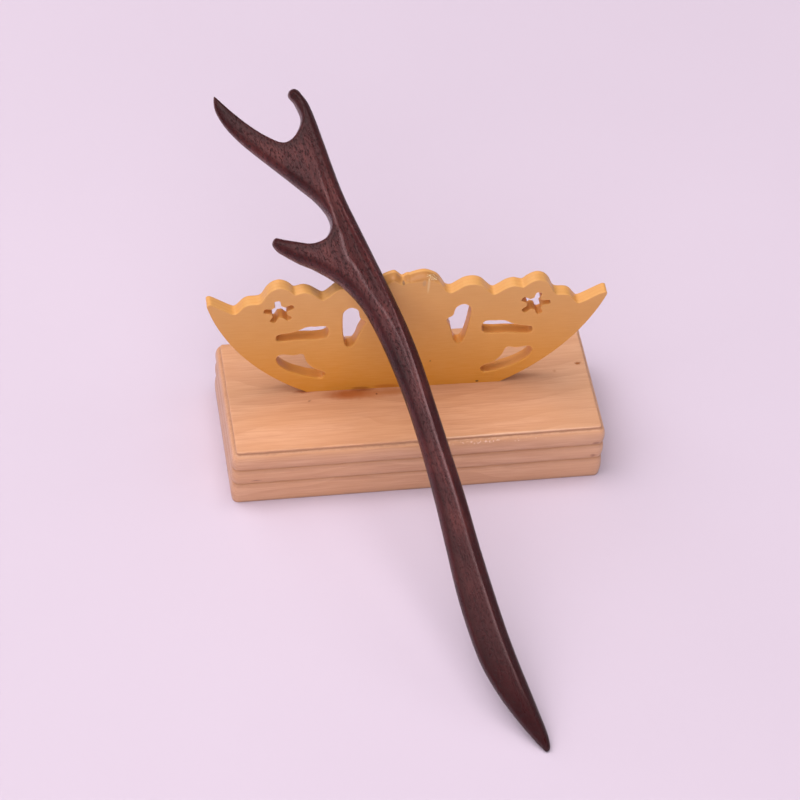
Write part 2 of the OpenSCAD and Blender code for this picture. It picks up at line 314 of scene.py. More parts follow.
def reach_of(node, where, centre, radii):
    """Distance from a centre, with each axis measured by its own radius: 1 on the skin of the spot."""
    near = node("ShaderNodeMapping", {
        "Vector": where, "Location": centre, "Scale": radii,
    }, vector_type="TEXTURE")
    return node("ShaderNodeVectorMath", {0: near}, operation="LENGTH").outputs["Value"]


def layered(node, colour, layers):
    """Colours over a base one, in rows: source, where its cover starts and ends, its most, its colour."""
    for source, start, full, most, shade in layers:
        cover = node("ShaderNodeMapRange", {
            "Value": source, "From Min": start, "From Max": full, "To Max": most,
        })
        colour = node("ShaderNodeMix", {0: cover, 6: colour, 7: shade}, data_type="RGBA")
    return colour


def placed(name, data):
    """A new object with the given mesh, curve, light or camera, linked to the scene."""
    made = bpy.data.objects.new(name, data)
    bpy.context.scene.collection.objects.link(made)
    return made


def heading(a, b, c):
    """Direction of a smooth curve at its middle point."""
    return (c - a) / (np.linalg.norm(c - b) + np.linalg.norm(b - a))


def curve(a, b, c, d, t):
    """Point at t on a smooth curve from b to c, with a before and d after them."""
    reach = np.linalg.norm(c - b)
    leave, arrive = heading(a, b, c) * reach, heading(b, c, d) * reach
    return (
        b * (2 * t ** 3 - 3 * t ** 2 + 1) + leave * (t ** 3 - 2 * t ** 2 + t)
        + c * (3 * t ** 2 - 2 * t ** 3) + arrive * (t ** 3 - t ** 2)
    )


def closed_line(points, steps):
    p = [np.array(q, float) for q in points]
    n = len(p)
    return np.array([
        curve(p[i - 1], p[i], p[(i + 1) % n], p[(i + 2) % n], j / steps)
        for i in range(n) for j in range(steps)
    ])


def open_point(p, i, t):
    last = len(p) - 1
    return curve(p[max(i - 1, 0)], p[i], p[min(i + 1, last)], p[min(i + 2, last)], t)


def open_line(points, steps):
    p = [np.array(q, float) for q in points]
    line = [open_point(p, i, j / steps) for i in range(len(p) - 1) for j in range(steps)]
    return np.array(line + [p[-1]])


def mix(a, b, t):
    return a + (b - a) * t


def stick_limbs():
    """The stem and its two tines, each a list of cuts: edge A, edge B, round A, round B."""
    stem = [(np.array((r[1], r[0])), np.array((r[2], r[0])), *r[4:]) for r in STEM_CUTS]

    def tine(fork, cuts):
        root = stem[fork[0]]
        first = (root[0], np.array(fork[1:]), root[2], -1)
        return [first] + [(np.array((r[0], r[1])), np.array((r[0], r[2])), *r[3:]) for r in cuts]

    return [stem, tine(LOWER_FORK, LOWER_CUTS), tine(LONG_FORK, LONG_CUTS)]


def away_from(points, starts, ends):
    """Distance from each point to the nearest stretch, its number, and the share of it walked."""
    found = []
    along = ends - starts
    for part in np.array_split(points, len(points) // 1500 + 1):
        out = part[:, None] - starts
        share = np.clip(np.sum(out * along, axis=2) / np.sum(along ** 2, axis=1), 0, 1)
        gap = np.linalg.norm(out - share[..., None] * along, axis=2)
        nearest = np.argmin(gap, axis=1)
        rows = np.arange(len(part))
        found.append(np.column_stack([gap[rows, nearest], nearest, share[rows, nearest]]))
    return np.vstack(found).T


def stick_posts(limbs, crest):
    """The posts of the outline: point, width of the round, its share, the face's reach, the side."""
    def post(point, cut, k, side, facet):
        roundness = cut[2 + k]
        far = FULL_EDGE if roundness > 0 else SQUARE_EDGE
        width, share, reach = (mix(SHARP_EDGE[j], far[j], abs(roundness)) for j in range(3))
        if side == 3:
            width, share = STEEP_EDGE
        if facet:
            reach = away_from(np.array([point]), crest[:-1], crest[1:])[0, 0]
            width = min(width, EDGE_SHARE * reach)
        return [*point, width, share, reach, side]

    def edge(limb, rows, k, side, facet=False):
        return [post(limbs[limb][i][k], limbs[limb][i], k, side, facet) for i in rows]

    def end(limb, points, k, side):
        return [post(p, limbs[limb][-1], k, side, False) for p in points]

    top = len(limbs[0]) - 1
    lower, upper = len(limbs[1]) - 1, len(limbs[2]) - 1
    posts = edge(0, range(LAST_FACET_ROW + 1), 0, 0, True) + edge(0, [LOWER_FORK[0]], 0, 0)
    posts[-1][4] = ROOT_REACH
    posts += edge(1, range(1, lower + 1), 0, 0) + end(1, LOWER_END, 0, 0)
    posts += edge(1, range(lower, -1, -1), 1, 1)
    posts += edge(0, range(LOWER_FORK[0] + 1, LONG_FORK[0] + 1), 0, 1)
    posts += edge(2, range(1, upper + 1), 0, 1) + end(2, LONG_END, 0, 1)
    posts += edge(2, range(upper, -1, -1), 1, 2)
    posts += edge(0, range(LONG_FORK[0] + 1, top + 1), 0, 2) + end(0, TOP_END, 0, 2)
    posts += edge(0, range(top, -1, -1), 1, 3, True) + end(0, BLADE_END, 1, 3)
    return np.array(posts)


def stick_edge(crest):
    """The outline anticlockwise at an even pitch, with what stick_posts gives for each point."""
    posts = stick_posts(stick_limbs(), crest)
    outline = closed_line(posts[:, :2], STEPS)
    steps = np.arange(len(outline)) / STEPS
    numbers = np.arange(len(posts) + 1)
    extra = [np.interp(steps, numbers, [*posts[:, k], posts[0, k]]) for k in (2, 3, 4)]
    drawn = np.column_stack([outline, *extra, posts[steps.astype(int), 5]])[::-1]
    drawn[:, 5] = np.roll(drawn[:, 5], -1)
    drawn = np.vstack([drawn, drawn[:1]])
    run = np.concatenate([[0], np.cumsum(np.linalg.norm(np.diff(drawn[:, :2], axis=0), axis=1))])
    at = np.linspace(0, run[-1], int(run[-1] / EDGE_PITCH))[:-1]
    loop = np.column_stack([np.interp(at, run, drawn[:, k]) for k in range(6)])
    loop[:, 5] = drawn[np.searchsorted(run, at, side="right") - 1, 5]
    return loop


def smooth_table(table):
    """A table of two columns as a smooth line that np.interp can read."""
    return open_line(table, STEPS).T


def stick_height(points, loop, arris):
    """Height of the face at each point: the least of what the four sides of the outline allow."""
    x, y = points.T
    lower, upper = (np.interp(x, *smooth_table(table)) for table in (LOWER_RISE, LONG_RISE))
    rise = np.minimum(np.where(y < FORKS_PART, lower, upper), np.interp(y, *smooth_table(STEM_RISE)))
    soft = np.maximum(np.interp(y, *zip(*STEM_ARRIS)), arris) / CREST_RISE
    after = np.roll(loop, -1, axis=0)
    allowed = []
    for side in range(4):
        own = loop[:, 5] == side
        away, number, walked = away_from(points, loop[own, :2], after[own, :2])
        number = number.astype(int)
        width, share, reach = (
            mix(loop[own][number, k], after[own][number, k], walked) for k in (2, 3, 4)
        )
        round_part = np.sqrt(1 - (1 - np.clip(away / width, 0, 1)) ** 2)
        left = 1 - np.minimum(away / reach, 1)
        flat_part = 1 - left ** (1 if side == 3 else FULLNESS)
        flat_part += CROWN * np.minimum(away / CROWN_REACH, 1)
        allowed.append(share * round_part + (1 - share) * flat_part)
    least, second = np.sort(allowed, axis=0)[:2]
    close = np.maximum(soft - (second - least), 0) / soft
    return rise * (least - close ** 2 * soft / 4)


def channel_depth(points, crest):
    """Depth of the channel at each point, nothing outside it."""
    ridge = open_line(RIDGE, STEPS)[::-1]
    x, y = points.T
    left, depth = (np.interp(y, ridge[:, 1], ridge[:, k]) for k in (0, 2))
    right = np.interp(y, crest[:, 1], crest[:, 0])
    over = np.clip((x - left) / (right - left), 0, 1)
    down, up = over / CHANNEL_FLOOR, (1 - over) / (1 - CHANNEL_FLOOR)
    close = np.maximum(CHANNEL_SOFT - abs(down - up), 0) / CHANNEL_SOFT
    return depth * (np.minimum(down, up) - close ** 2 * CHANNEL_SOFT / 4)


def painted_light_at(points, crest, loop):
    """Painted light on the front at each point: about 1 where a highlight is painted on an arris, and
    below 0 where shade is painted.
    """
    ridge = open_line(RIDGE, STEPS)
    after = np.roll(loop, -1, axis=0)
    wear_and_light = -CHANNEL_SHADE * channel_depth(points, crest)
    away, number = away_from(points, loop[:, :2], after[:, :2])[:2]
    left = loop[number.astype(int), 5] < 3
    dark, middle, half = EDGE_SHADE
    wear_and_light -= left * dark * np.exp(-((away - middle) / half) ** 2)
    dark, reach, fade = RIGHT_FACE_SHADE
    wear_and_light -= ~left * dark * np.clip((reach - away) / fade, 0, 1)
    shine, wide, foot, rows = RIM_REFLECTION
    wear_and_light += left * shine * np.clip(1 - away / wide, 0, 1) * np.clip((points[:, 1] - foot) / rows, 0, 1)
    for line, table in ((crest, CREST_HIGHLIGHT), (ridge[:, :2], RIDGE_HIGHLIGHT)):
        place, strength, reach = np.array(table).T
        gap = away_from(points, line[:-1], line[1:])[0]
        shine = np.exp(-(gap / np.interp(points[:, 1], place, reach)) ** 2)
        wear_and_light += np.interp(points[:, 1], place, strength) * shine
    return wear_and_light


def clear_of(points, others, least):
    """The points that lie further than least from all the others."""
    tree = kdtree.KDTree(len(others))
    for k, p in enumerate(others):
        tree.insert((*p, 0), k)
    tree.balance()
    return np.array([p for p in points if tree.find((*p, 0))[2] > least])


def stick_surface():
    """Points, faces and painted light of the stick as it lies flat: two sheets, joined at the outline."""
    crest = open_line([(r[3], r[0]) for r in STEM_CUTS], STEPS)
    loop = stick_edge(crest)
    rim = loop[:, :2]
    after = np.roll(rim, -1, axis=0)
    ahead = after - np.roll(rim, 1, axis=0)
    ahead /= np.linalg.norm(ahead, axis=1)[:, None]
    inward = np.column_stack([-ahead[:, 1], ahead[:, 0]])
    rings = []
    for turn in EDGE_TURNS:
        over = loop[:, 2] * (1 - math.cos(turn))
        ring = rim + inward * over[:, None]
        rings.append(ring[away_from(ring, rim, after)[0] > RING_SHARE * over])
    creases = [crest[CREST_SPAN], open_line(RIDGE, STEPS)[RIDGE_SPAN, :2]]
    lined = np.vstack(creases)
    rings = clear_of(np.vstack(rings), lined, NEAR_CREASE)
    grid = []
    for row, y in enumerate(np.arange(rim[:, 1].min(), rim[:, 1].max(), FACE_PITCH * FACE_ROW)):
        level = (rim[:, 1] > y) != (after[:, 1] > y)
        a, b = rim[level], after[level]
        walls = np.sort(a[:, 0] + (b[:, 0] - a[:, 0]) * (y - a[:, 1]) / (b[:, 1] - a[:, 1]))
        for left, right in zip(walls[::2], walls[1::2]):
            first = math.ceil((left + FACE_START) / FACE_PITCH) + row % 2 / 2
            grid += [(x, y) for x in np.arange(first * FACE_PITCH, right - FACE_START, FACE_PITCH)]
    grid = np.array(grid)
    grid = grid[away_from(grid, rim, after)[0] > FACE_START]
    grid = clear_of(grid, np.vstack([rings, lined]), NEAR_RING)
    n = len(rim)
    edges = [(i, (i + 1) % n) for i in range(n)]
    start = n
    for line in creases:
        edges += [(start + i, start + i + 1) for i in range(len(line) - 1)]
        start += len(line)
    flat = [Vector(p) for p in np.vstack([rim, *creases, rings, grid])]
    found = geometry.delaunay_2d_cdt(flat, edges, [], 1, 1e-6)
    spots = np.array(found[0])
    within = np.array([not origin or origin[0] >= n for origin in found[3]])
    inner = spots[within]
    front = np.zeros(len(spots))
    front[within] = CREST_RISE * stick_height(inner, loop, 0) - channel_depth(inner, crest)
    back = -BACK_DEPTH * stick_height(inner, loop, BACK_ARRIS)
    under = np.arange(len(spots))
    under[within] = len(spots) + np.arange(len(inner))
    points = np.vstack([np.column_stack([spots, front]), np.column_stack([inner, back])])
    faces = [tuple(f) for f in found[2]] + [tuple(int(under[v]) for v in f[::-1]) for f in found[2]]
    wear_and_light = np.zeros(len(points))
    wear_and_light[:len(spots)] = painted_light_at(spots, crest, loop)
    return points, faces, wear_and_light


def piece_of(name, points, faces, shares, place, slot, replaced, material, weld=1e-6):
    """A smooth closed mesh in metres at its place, with a share at each point for its material."""
    mesh = bpy.data.meshes.new(name)
    mesh.from_pydata([tuple(p) for p in points], [], faces)
    mesh.attributes.new("share", "FLOAT", "POINT").data.foreach_set("value", shares)
    mesh.transform(place)
    shape = bmesh.new()
    shape.from_mesh(mesh)
    bmesh.ops.remove_doubles(shape, verts=shape.verts, dist=weld)
    bmesh.ops.dissolve_degenerate(shape, dist=1e-7, edges=shape.edges)
    bmesh.ops.recalc_face_normals(shape, faces=shape.faces)
    shape.to_mesh(mesh)
    shape.free()
    mesh.shade_smooth()
    mesh.materials.append(material)
    made = placed(name, mesh)
    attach(made, "root")
    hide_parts(replaced)


def plate_edge():
    """The plate's outline as it is drawn, before its tilt, anticlockwise."""
    top = open_line(PLATE_TOP, 12)
    xs = np.arange(-PLATE_TOP[-1][0], PLATE_TOP[-1][0], 0.1)

    def height(x):
        return np.interp(x, top[:, 0], top[:, 1], left=-99)

    hs = np.maximum(height(xs), height(-xs))
    bite = NOTCH_AT[1] + NOTCH_SLOPE * abs(xs - NOTCH_AT[0]) ** NOTCH_POWER
    hs = -NOTCH_SOFT * np.logaddexp(-hs / NOTCH_SOFT, -bite / NOTCH_SOFT)
    upper = list(zip(xs, hs))[::-1]
    tip = PLATE_TOP[-1]
    first = math.atan2(tip[1] - KEEL_CENTRE[1], tip[0] - KEEL_CENTRE[0])
    last = -math.asin((KEEL_CENTRE[1] + FOOT_SINK) / KEEL_RADIUS)
    turns = np.linspace(last, first, KEEL_STEPS)[:-1]
    right = [
        (KEEL_CENTRE[0] + KEEL_RADIUS * math.cos(t), KEEL_CENTRE[1] + KEEL_RADIUS * math.sin(t))
        for t in turns
    ]
    left = [(-x, h) for x, h in right[::-1]]
    return np.array(right + [tip] + upper + [(-tip[0], tip[1])] + left)


def flower_edge():
    """The edge of the pierced flower: a hub with five short slots as petals."""
    half = PETAL_WIDTH / 2
    start = math.asin(half / FLOWER_HUB)
    pitch = 2 * math.pi / PETALS
    edge = []
    for k in range(PETALS):
        turn = math.radians(FLOWER_TURN) + k * pitch
        petal = [(FLOWER_HUB * math.cos(start), -half)]
        petal += [
            (
                FLOWER_REACH + PETAL_CORNER * (math.cos(t) - 1),
                way * (half - PETAL_CORNER) + PETAL_CORNER * math.sin(t),
            )
            for way, first in ((-1, -math.pi / 2), (1, 0))
            for t in np.linspace(first, first + math.pi / 2, 5)
        ]
        petal += [
            (FLOWER_HUB * math.cos(t), FLOWER_HUB * math.sin(t))
            for t in np.linspace(start, pitch - start, 6)[:-1]
        ]
        c, s = math.cos(turn), math.sin(turn)
        edge += [(x * c - y * s, x * s + y * c) for x, y in petal]
    return np.array(edge) + FLOWER_AT


def even_loop(loop, pitch, way):
    """A closed loop with its points evenly spaced, anticlockwise for way 1 and clockwise for -1."""
    area = np.sum(loop[:, 0] * np.roll(loop[:, 1], -1) - np.roll(loop[:, 0], -1) * loop[:, 1])
    if area * way < 0:
        loop = loop[::-1]
    shut = np.vstack([loop, loop[:1]])
    run = np.concatenate([[0], np.cumsum(np.linalg.norm(np.diff(shut, axis=0), axis=1))])
    at = np.linspace(0, run[-1], max(int(run[-1] / pitch), 12) + 1)[:-1]
    return np.column_stack([np.interp(at, run, shut[:, k]) for k in (0, 1)])


def cut_at_foot(loop):
    """The loop without what lies under the foot, and with the foot's own line."""
    kept = []
    for here, after in zip(loop, np.roll(loop, -1, axis=0)):
        if here[1] >= 0:
            kept.append(here)
        if (here[1] >= 0) != (after[1] >= 0):
            kept.append(mix(here, after, here[1] / (here[1] - after[1])))
    return np.array(kept)


def arris_at(p):
    """Inset and depth of the front arris at a point of the plate's outline."""
    wear_and_light = np.clip(LOBE_WEAR[0] - abs(abs(p[0] - LOBES_AT) - LOBE_CROWN) / LOBE_WEAR[1], 0, 1)
    wear_and_light *= np.clip((p[1] - WEAR_FOOT[0]) / WEAR_FOOT[1], 0, 1)
    wear_and_light *= 1 - 0.5 * np.clip(1 - abs(p[0] - NOTCH_AT[0] + CORNER_OUT) / CORNER_REACH, 0, 1)
    return [mix(sawn, rubbed_and_highlight, wear_and_light) for sawn, rubbed_and_highlight in zip(SAWN_ARRIS, WORN_ARRIS)]


def inside(p, walls):
    """Whether a point lies in the sheet, by the walls that a line from it to the right crosses."""
    a, b = walls[:, 0], walls[:, 1]
    level = (a[:, 1] > p[1]) != (b[:, 1] > p[1])
    run = np.where(level, b[:, 1] - a[:, 1], 1)
    cross = a[:, 0] + (b[:, 0] - a[:, 0]) * (p[1] - a[:, 1]) / run
    return np.count_nonzero(level & (cross > p[0])) % 2 == 1


def plate_surface():
    """Points, faces and shares of the pierced plate: x along it, y up it, z out of its front face."""
    tilt = np.array([
        (math.cos(PLATE_TILT), math.sin(PLATE_TILT)),
        (-math.sin(PLATE_TILT), math.cos(PLATE_TILT)),
    ])
    loops = [even_loop(cut_at_foot(plate_edge() @ tilt), PLATE_PITCH, 1)]
    for side, shift in ((1, LEAF_SHIFT[0]), (-1, LEAF_SHIFT[1])):
        holes = [flower_edge()] + [closed_line(e, 8) for e in (DROP_EDGE, SLIT_EDGE, LEAF_EDGE)]
        holes = [h * (side, 1) for h in holes]
        holes[3] += (shift, 0)
        loops += [even_loop(h @ tilt, HOLE_PITCH, -1) for h in holes]
    points, faces, rims, pierced = [], [], [], []
    for number, loop in enumerate(loops):
        ahead = np.roll(loop, -1, axis=0) - np.roll(loop, 1, axis=0)
        ahead /= np.linalg.norm(ahead, axis=1)[:, None]
        inward = np.column_stack([-ahead[:, 1], ahead[:, 0]])
        if number:
            # The flowers come first on either side and are left as sawn
            size = np.array([SAWN_ARRIS if number % 4 == 1 else PIERCED_ARRIS] * len(loop))
        else:
            size = np.array([arris_at(p) for p in loop])
        foot = loop[:, 1] < 0.02
        size[foot] = FOOT_ARRIS
        inset, depth = size[:, :1], size[:, 1:]
        flat = 0 * depth
        plain = np.where(foot[:, None], FOOT_ARRIS, SAWN_ARRIS[0])
        rings = [(inset + FLAT_RING, flat)]
        rings += [(inset * (1 - math.sin(t)), -depth * (1 - math.cos(t))) for t in PLATE_TURNS]
        rings += [
            (flat, mix(-depth, flat - PLATE_THICK + SAWN_ARRIS[1], k / WALL_STEPS))
            for k in range(1, WALL_STEPS)
        ]
        rings += [
            (plain * (1 - math.cos(t)), -PLATE_THICK + plain * (1 - math.sin(t)))
            for t in PLATE_TURNS
        ]
        rings += [(plain + FLAT_RING, flat - PLATE_THICK)]
        n, base = len(loop), len(points)
        for step, (over, z) in enumerate(rings):
            points += [(*p, h) for p, h in zip(loop + inward * over, z[:, 0])]
            if number == 0 or step in (0, len(rings) - 1):
                pierced += [0.0] * n
            elif over.max() == 0:
                pierced += [1.0] * n
            else:
                # A negative share on the holes' front arris, growing as its inward side turns up, marks a
                # painted highlight
                pierced += list(-np.clip(inward[:, 1], 0, 1) * (step < len(PLATE_TURNS)))
        for r in range(len(rings) - 1):
            for i in range(n):
                a, b = base + r * n + i, base + r * n + (i + 1) % n
                faces.append((a, a + n, b + n, b))
        rims.append((base, base + (len(rings) - 1) * n, n))
    for side in (0, 1):
        ids, edges, flat = [], [], []
        for rim in rims:
            start, n = rim[side], rim[2]
            edges += [(len(flat) + i, len(flat) + (i + 1) % n) for i in range(n)]
            flat += [Vector(points[start + i][:2]) for i in range(n)]
            ids += range(start, start + n)
        found = geometry.delaunay_2d_cdt(flat, edges, [], 1, 1e-6)
        spots = np.array(found[0])
        walls = np.array([(flat[a], flat[b]) for a, b in edges])
        back = []
        for spot, origin in zip(found[0], found[3]):
            if not origin:
                points.append((*spot, 0.0 if side == 0 else -PLATE_THICK))
            back.append(ids[origin[0]] if origin else len(points) - 1)
        for face in found[2]:
            if inside(spots[list(face)].mean(axis=0), walls):
                corners = [back[v] for v in face]
                faces.append(tuple(corners if side == 0 else corners[::-1]))
    pierced += [0.0] * (len(points) - len(pierced))
    return np.array(points), faces, pierced


def block_section():
    """The block's section as a curve: x is the inset from the side and y the height, both negative."""
    section = []
    for foot, head, low, high in MOULDINGS:
        for k in range(-9, 10):
            a = math.radians(10 * k)
            deep, power = (low, UNDER_FULLNESS) if a < 0 else (high, OVER_FULLNESS)
            inset = deep * (1 - max(math.cos(a), 0) ** power)
            section.append((inset, mix(foot, head, 0.5 + math.sin(a) / 2)))
    for k in range(5):
        a = math.radians(22.5 * k)
        section.append((
            QUIRK_INSET + PANEL_ARRIS * (1 - math.cos(a)),
            BLOCK_HEIGHT - PANEL_ARRIS * (1 - math.sin(a)),
        ))
    line = bpy.data.curves.new("section", "CURVE")
    line.dimensions = "3D"
    spline = line.splines.new("POLY")
    spline.points.add(len(section) - 1)
    for point, (inset, height) in zip(spline.points, section):
        point.co = (-inset * MM, -height * MM, 0, 1)
    return placed("section", line)


def moulded_block(material):
    """The block: its section is run round a rectangle with round corners, as a router runs round it."""
    tree = bpy.data.node_groups.new("moulding_run_round_a_block", "GeometryNodeTree")
    face = tree.interface
    for name, kind in (
        ("Geometry", "Geometry"), ("Length", "Float"), ("Width", "Float"), ("Corner radius", "Float"),
        ("Pitch", "Float"), ("Section", "Object"), ("Finish", "Material"),
    ):
        face.new_socket(name, in_out="INPUT", socket_type="NodeSocket" + kind)
    face.new_socket("Geometry", in_out="OUTPUT", socket_type="NodeSocketGeometry")
    given = add(tree, "NodeGroupInput").outputs
    sides = add(tree, "GeometryNodeCurvePrimitiveQuadrilateral", {
        "Width": given["Length"], "Height": given["Width"],
    })
    rounded = add(tree, "GeometryNodeFilletCurve", {
        "Curve": sides, "Radius": given["Corner radius"], "Count": 12,
    }, mode="POLY")
    paced = add(tree, "GeometryNodeResampleCurve", {
        "Curve": rounded, "Length": given["Pitch"],
    }, mode="LENGTH")
    level = add(tree, "GeometryNodeSetCurveNormal", {"Curve": paced}, mode="Z_UP")
    section = add(tree, "GeometryNodeObjectInfo", {"Object": given["Section"]})
    run = add(tree, "GeometryNodeCurveToMesh", {
        "Curve": level, "Profile Curve": section.outputs["Geometry"],
    })
    whole = add(tree, "GeometryNodeRealizeInstances", {"Geometry": run})
    done = add(tree, "GeometryNodeSetMaterial", {"Geometry": whole, "Material": given["Finish"]})
    add(tree, "NodeGroupOutput", {"Geometry": done})
    sized = {
        "Length": BLOCK_LENGTH * MM, "Width": BLOCK_WIDTH * MM, "Corner radius": CORNER_RADIUS * MM,
        "Pitch": BLOCK_PITCH * MM, "Section": block_section(), "Finish": material,
    }
    carrier = placed("run", bpy.data.meshes.new("run"))
    live = carrier.modifiers.new("run", "NODES")
    live.node_group = tree
    for item in face.items_tree:
        if item.in_out == "INPUT" and item.name in sized:
            live[item.identifier] = sized[item.name]
    bpy.context.view_layer.update()
    mesh = bpy.data.meshes.new_from_object(carrier.evaluated_get(bpy.context.evaluated_depsgraph_get()))
    carrier.modifiers.clear()
    for spare in (carrier, sized["Section"]):
        bpy.data.objects.remove(spare)
    shape = bmesh.new()
    shape.from_mesh(mesh)
    open_edges = [e for e in shape.edges if e.is_boundary]
    filled = bmesh.ops.holes_fill(shape, edges=open_edges, sides=0)["faces"]
    bmesh.ops.inset_individual(shape, faces=filled, thickness=0.4 * MM)
    bmesh.ops.recalc_face_normals(shape, faces=shape.faces)
    shape.to_mesh(mesh)
    shape.free()
    mesh.name = "moulded_block"
    mesh.shade_smooth()
    made = placed("moulded_block", mesh)
    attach(made, "root")
    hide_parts("stand_base")


STICK_PLACE = (
    Matrix.Translation(Vector(STICK_TIP) * MM)
    @ Matrix.Rotation(STICK_LEAN, 4, "X")
    @ Matrix.Scale(STICK_LENGTH / TABLE_LENGTH * MM, 4)
)
PLATE_PLACE = (
    Matrix.Translation(Vector((*PLATE_AT, BLOCK_HEIGHT)) * MM)
    @ Matrix.Rotation(PLATE_TURN, 4, "Z")
    @ Matrix.Rotation(math.radians(90), 4, "X")
    @ Matrix.Scale(MM, 4)
)


def dark_wood():
    """Rosewood, filed and polished by hand: dark, straight grained, with open pores and a low gloss."""
    material, node, where = begin_material(
        "rosewood_hand_polished", STICK_PLACE @ Matrix.Rotation(GRAIN_TURN, 4, "Z")
    )
    along = node("ShaderNodeMapping", {"Vector": where, "Scale": (1, 0.05, 1)})
    # Streaks about 1.5 mm wide and 30 mm long, clouds of 12 mm, fibres 0.3 mm wide, and a fine mottle
    streaks = node("ShaderNodeTexNoise", {
        "Vector": along, "Scale": 0.9, "Detail": 4, "Roughness": 0.65,
    })
    clouds = node("ShaderNodeTexNoise", {"Vector": where, "Scale": 0.08, "Detail": 3})
    fibres = node("ShaderNodeTexNoise", {"Vector": along, "Scale": 2.6, "Detail": 3, "Roughness": 0.7})
    mottle = node("ShaderNodeTexNoise", {"Vector": where, "Scale": 2.6, "Detail": 3, "Roughness": 0.75})
    tone = node("ShaderNodeMath", {0: streaks, 1: clouds}, operation="ADD")
    for source, weight in ((fibres, 0.45), (mottle, 0.6)):
        tone = node("ShaderNodeMath", {0: source, 1: weight, 2: tone}, operation="MULTIPLY_ADD")
    tone = node("ShaderNodeMapRange", {"Value": tone, "From Min": 1.18, "From Max": 1.88})
    browns = [(0, "#2C1012"), (0.5, "#461B1D"), (1, "#602C2A")]
    colour = node("ShaderNodeValToRGB", {"Fac": tone}, browns)
    height = node("ShaderNodeSeparateXYZ", {"Vector": where}).outputs["Y"]
    # Pores are drawn 0.2 mm wide, somewhat wider than real ones, and up to 1 mm long
    stretched = node("ShaderNodeMapping", {"Vector": where, "Scale": (1, 0.33, 1)})
    pits = node("ShaderNodeTexNoise", {"Vector": stretched, "Scale": 3.1, "Detail": 1})
    pores = node("ShaderNodeMapRange", {"Value": pits, "From Min": 0.58, "From Max": 0.65})
    # The blade is cut from closer grained wood
    closed = node("ShaderNodeMapRange", {
        "Value": height, "From Min": 60, "From Max": 110, "To Min": 0.55,
    })
    pores = node("ShaderNodeMath", {0: pores, 1: closed}, operation="MULTIPLY")
    # The share carries painted light: painted highlights make the crest, the ridge and the rims paler and
    # smoother, and painted shade darkens the channel and the edges
    share = node("ShaderNodeAttribute", attribute_name="share").outputs["Fac"]
    patches = node("ShaderNodeMapRange", {
        "Value": streaks, "From Min": 0.4, "From Max": 0.55, "To Min": 0.45,
    })
    patchy_highlight = node("ShaderNodeMath", {0: share, 1: patches}, operation="MULTIPLY")
    colour = layered(node, colour, [
        # Towards the blade's tip and the upper ends the wood is darker and redder
        (height, 72, 12, 0.95, "#341114"),
        (height, 168, 190, 0.95, "#341114"),
        (pores, 0, 1, 0.75, "#1C0D0E"),
        # Painted highlight where the share is above 0, broken up by the streaks
        (patchy_highlight, 0, 1, 0.5, "#8C6C6E"),
        # Painted shade where the share is below 0
        (share, 0, -0.7, 0.4, "#241012"),
    ])
    rough = node("ShaderNodeMapRange", {
        "Value": streaks, "From Min": 0.35, "From Max": 0.65, "To Min": 0.24, "To Max": 0.34,
    })
    for source, weight in ((pores, 0.25), (share, -0.08)):
        rough = node("ShaderNodeMath", {0: source, 1: weight, 2: rough}, operation="MULTIPLY_ADD")
    relief = node("ShaderNodeMath", {0: fibres, 1: pores}, operation="SUBTRACT")
    relief = node("ShaderNodeMath", {0: mottle, 1: 0.8, 2: relief}, operation="MULTIPLY_ADD")
    end_material(node, {
        "Base Color": colour, "Roughness": rough, "IOR": 1.5, "Specular IOR Level": 0.45,
    }, relief, 0.75, 0.11)
    return material


# Marks on the plate: place, radii, colour, share
PLATE_MARKS = [
    ((3.6, 38.7), (0.5, 1.1), "#B08E70", 0.45),
    ((21.0, 1.2), (0.45, 0.3), "#3A2014", 0.95),
    ((7.6, 9.6), (0.25, 0.25), "#6E4426", 0.7),
    ((-5.3, 40.6), (0.3, 0.3), "#6E4A2A", 0.7),
    ((-1.8, 38.7), (0.35, 0.45), "#5A4030", 0.7),
    ((-3.6, 0.6), (3.4, 0.7), "#B4601E", 0.6),
    ((-10.4, 0.2), (2.4, 0.5), "#8E4418", 0.6),
]


